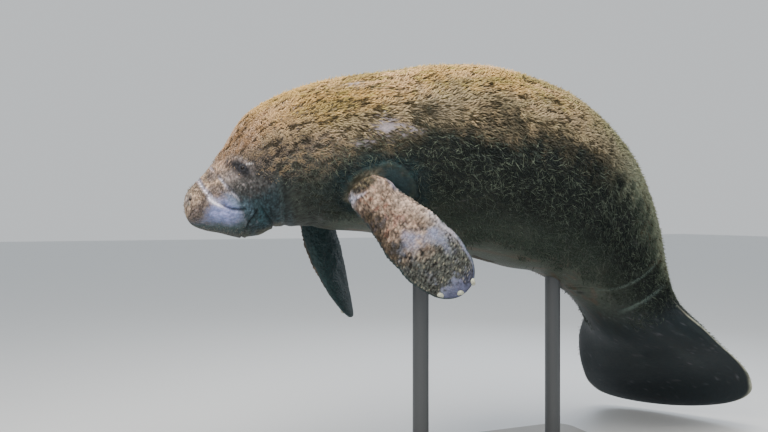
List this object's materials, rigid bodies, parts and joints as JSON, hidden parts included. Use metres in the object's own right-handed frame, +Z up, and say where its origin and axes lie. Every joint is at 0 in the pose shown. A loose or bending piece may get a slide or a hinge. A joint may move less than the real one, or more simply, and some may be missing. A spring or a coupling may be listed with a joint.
{
  "type": "manatee",
  "caption": "Life-size still model of a swimming manatee, back arched, head low and tail curled down and aside, held on a plain display stand with a flat base and rods.",
  "frame": {"origin": "centre of the underside of the stand's base, on the floor, below the animal's middle", "axes": "+Z up, -Z out of the base's underside; +X from the head towards the tail, along the longest extent; +Y to the animal's right"},
  "size_m": [2.6142, 1.0653, 1.6254],
  "materials": {
    "skin": "rough grey hide under olive and golden brown algae fuzz",
    "eye": "wet dark brown eye",
    "nail": "pale cream horn",
    "stand_board": "satin grey painted board",
    "stand_metal": "dark grey powder coated steel"
  },
  "bodies": {
    "root": {"head": "skin", "neck": "skin", "chest": "skin", "abdomen": "skin", "rump": "skin", "tail_stock": "skin", "tail_paddle": "skin", "eye_left": "eye", "eye_right": "eye", "flipper_left": "skin", "flipper_left_nail_1": "nail", "flipper_left_nail_2": "nail", "flipper_left_nail_3": "nail", "flipper_right": "skin", "flipper_right_nail_1": "nail", "flipper_right_nail_2": "nail", "flipper_right_nail_3": "nail", "stand_base": "stand_board", "stand_flange_front": "stand_metal", "stand_flange_rear": "stand_metal", "stand_rod_front": "stand_metal", "stand_rod_rear": "stand_metal"}
  },
  "joints": []
}
